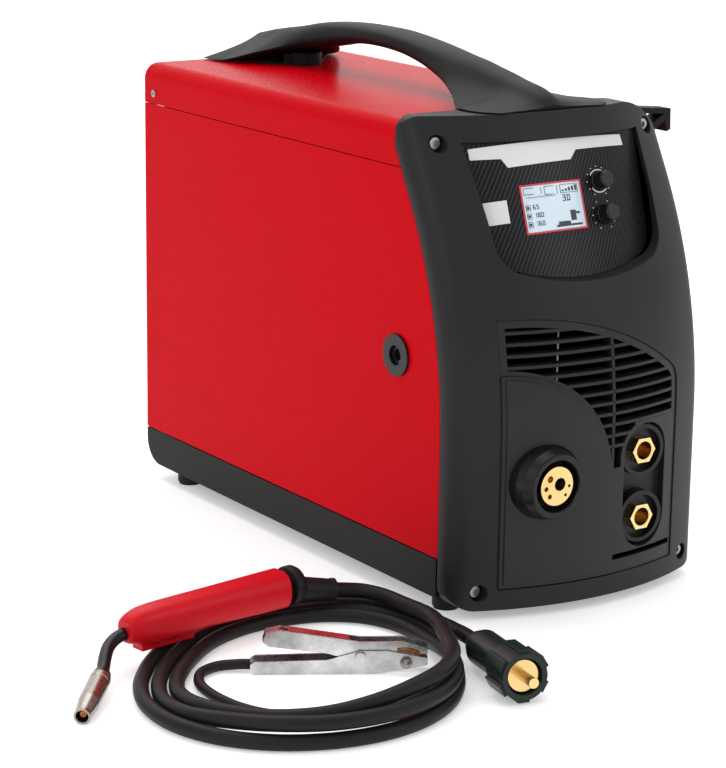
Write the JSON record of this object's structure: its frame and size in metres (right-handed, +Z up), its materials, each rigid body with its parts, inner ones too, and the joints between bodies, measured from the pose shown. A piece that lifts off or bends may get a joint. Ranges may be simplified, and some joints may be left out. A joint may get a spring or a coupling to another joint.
{
  "type": "mig welding machine",
  "caption": "Portable wire-feed welding machine with leaning control panel, carrying handle, side door, torch and earth sockets; torch with coiled cable and earth clamp lie beside it.",
  "frame": {"origin": "centre of the machine's footprint on the floor", "axes": "+Z up, front of the machine towards -Y, wire compartment door on the -X side"},
  "size_m": [0.5544, 0.6135, 0.3811],
  "materials": {
    "red_paint": "powder coated",
    "black_paint": "powder coated",
    "black_plastic": "fine texture",
    "dark_plastic": "smooth",
    "silver_plastic": "smooth",
    "red_plastic": "smooth",
    "clear_display": "clear",
    "black_rubber": "smooth",
    "cable_rubber": "smooth",
    "brass": "turned",
    "steel": "plain",
    "zinc_steel": "zinc plated",
    "dark_steel": "black oxide",
    "aluminium": "extruded",
    "copper_wire": "copper plated",
    "green_board": "laminate",
    "winding_amber": "varnished",
    "dark_green_plastic": "smooth"
  },
  "bodies": {
    "machine": {"base_tray": "black_paint", "rubber_feet": "black_rubber", "rear_panel": "black_paint", "top_cover": "red_paint", "front_frame": "black_plastic", "grille_panel": "black_plastic", "torch_panel": "black_plastic", "control_fascia": "dark_plastic", "silver_trims": "silver_plastic", "display_bezel": "red_plastic", "display_window": "clear_display", "socket_collar": "black_plastic", "euro_socket": "brass", "dinse_shrouds": "black_plastic", "dinse_inserts": "brass", "handle_grip": "black_plastic", "handle_pad": "black_plastic", "case_screws": "dark_steel", "torch_hook": "black_plastic", "hinge_pins": "steel", "partition": "steel", "feed_plate": "aluminium", "feed_motor": "dark_steel", "spool_hub": "dark_plastic", "power_board": "green_board", "heat_sink": "aluminium", "transformer": "winding_amber", "fan_frame": "dark_plastic", "gas_valve": "brass", "switch_body": "dark_plastic", "cable_gland": "dark_plastic", "torch_handle": "red_plastic", "torch_neck": "black_rubber", "gas_nozzle": "zinc_steel", "contact_tip": "copper_wire", "torch_relief": "black_rubber", "torch_cable": "cable_rubber", "plug_body": "dark_green_plastic", "plug_core": "brass", "clamp_lower": "zinc_steel", "clamp_spring": "steel", "clamp_pin": "zinc_steel", "earth_cable": "cable_rubber", "earth_plug": "dark_plastic"},
    "door": {"side_door": "red_paint", "latch_bezel": "dark_plastic"},
    "latch": {"door_latch": "dark_plastic"},
    "upper_knob": {"knob_upper": "dark_plastic"},
    "lower_knob": {"knob_lower": "dark_plastic"},
    "fan_rotor": {"fan_rotor": "dark_plastic"},
    "drive_roller": {"drive_roller": "steel"},
    "pressure_arm": {"pressure_arm": "dark_plastic"},
    "pressure_roller": {"pressure_roller": "steel"},
    "tension_knob": {"tension_knob": "red_plastic"},
    "spool": {"wire_spool": "dark_plastic", "wire_winding": "copper_wire"},
    "mains_switch_knob": {"switch_knob": "dark_plastic"},
    "torch_trigger": {"torch_trigger": "red_plastic"},
    "plug_nut": {"plug_nut": "dark_green_plastic"},
    "clamp_upper_arm": {"clamp_upper": "zinc_steel"}
  },
  "joints": [
    {"name": "door_hinge", "type": "hinge", "parent": "machine", "child": "door", "pos_m": [-0.1056, 0.2235, 0.175], "axis": [0, 0, -1], "range_deg": [0, 90]},
    {"name": "latch_turn", "type": "hinge", "parent": "door", "child": "latch", "pos_m": [-0.11, -0.1314, 0.1767], "axis": [1, 0, 0], "range_deg": [0, 90]},
    {"name": "upper_knob_turn", "type": "hinge", "parent": "machine", "child": "upper_knob", "pos_m": [0.0273, -0.17667, 0.29457], "axis": [0, -0.9444, 0.3289], "continuous": true},
    {"name": "lower_knob_turn", "type": "hinge", "parent": "machine", "child": "lower_knob", "pos_m": [0.0273, -0.1845, 0.27209], "axis": [0, -0.9444, 0.3289], "continuous": true},
    {"name": "fan_spin", "type": "hinge", "parent": "machine", "child": "fan_rotor", "pos_m": [0.058, 0.21, 0.19], "axis": [0, 1, 0], "continuous": true},
    {"name": "drive_roller_spin", "type": "hinge", "parent": "machine", "child": "drive_roller", "pos_m": [-0.045, -0.095, 0.0841], "axis": [1, 0, 0], "continuous": true},
    {"name": "pressure_arm_lift", "type": "hinge", "parent": "machine", "child": "pressure_arm", "pos_m": [-0.05, -0.053, 0.11295], "axis": [-1, 0, 0], "range_deg": [0, 60]},
    {"name": "pressure_roller_spin", "type": "hinge", "parent": "pressure_arm", "child": "pressure_roller", "pos_m": [-0.045, -0.095, 0.11095], "axis": [1, 0, 0], "continuous": true},
    {"name": "tension_knob_turn", "type": "hinge", "parent": "pressure_arm", "child": "tension_knob", "pos_m": [-0.0484, -0.13, 0.14], "axis": [0, 0, 1], "continuous": true},
    {"name": "spool_spin", "type": "hinge", "parent": "machine", "child": "spool", "pos_m": [-0.052, 0.102, 0.188], "axis": [1, 0, 0], "continuous": true},
    {"name": "mains_switch_turn", "type": "hinge", "parent": "machine", "child": "mains_switch_knob", "pos_m": [0.058, 0.23, 0.285], "axis": [0, 1, 0], "range_deg": [0, 90]},
    {"name": "trigger_pull", "type": "hinge", "parent": "machine", "child": "torch_trigger", "pos_m": [-0.33213, -0.1612, 0.0155], "axis": [0.1384, -0.9904, 0], "range_deg": [0, 5], "stiffness_Nm_per_rad": 0.3},
    {"name": "plug_nut_turn", "type": "hinge", "parent": "machine", "child": "plug_nut", "pos_m": [-0.15419, -0.32969, 0.01755], "axis": [-0.2365, -0.9698, 0.0591], "continuous": true},
    {"name": "clamp_open", "type": "hinge", "parent": "machine", "child": "clamp_upper_arm", "pos_m": [-0.214, -0.24461, 0.012], "axis": [-0.5085, -0.8611, 0], "range_deg": [0, 8], "stiffness_Nm_per_rad": 3}
  ],
  "couplings": [
    {"joint": "pressure_roller_spin", "follows": "drive_roller_spin", "ratio": -1.3636}
  ]
}
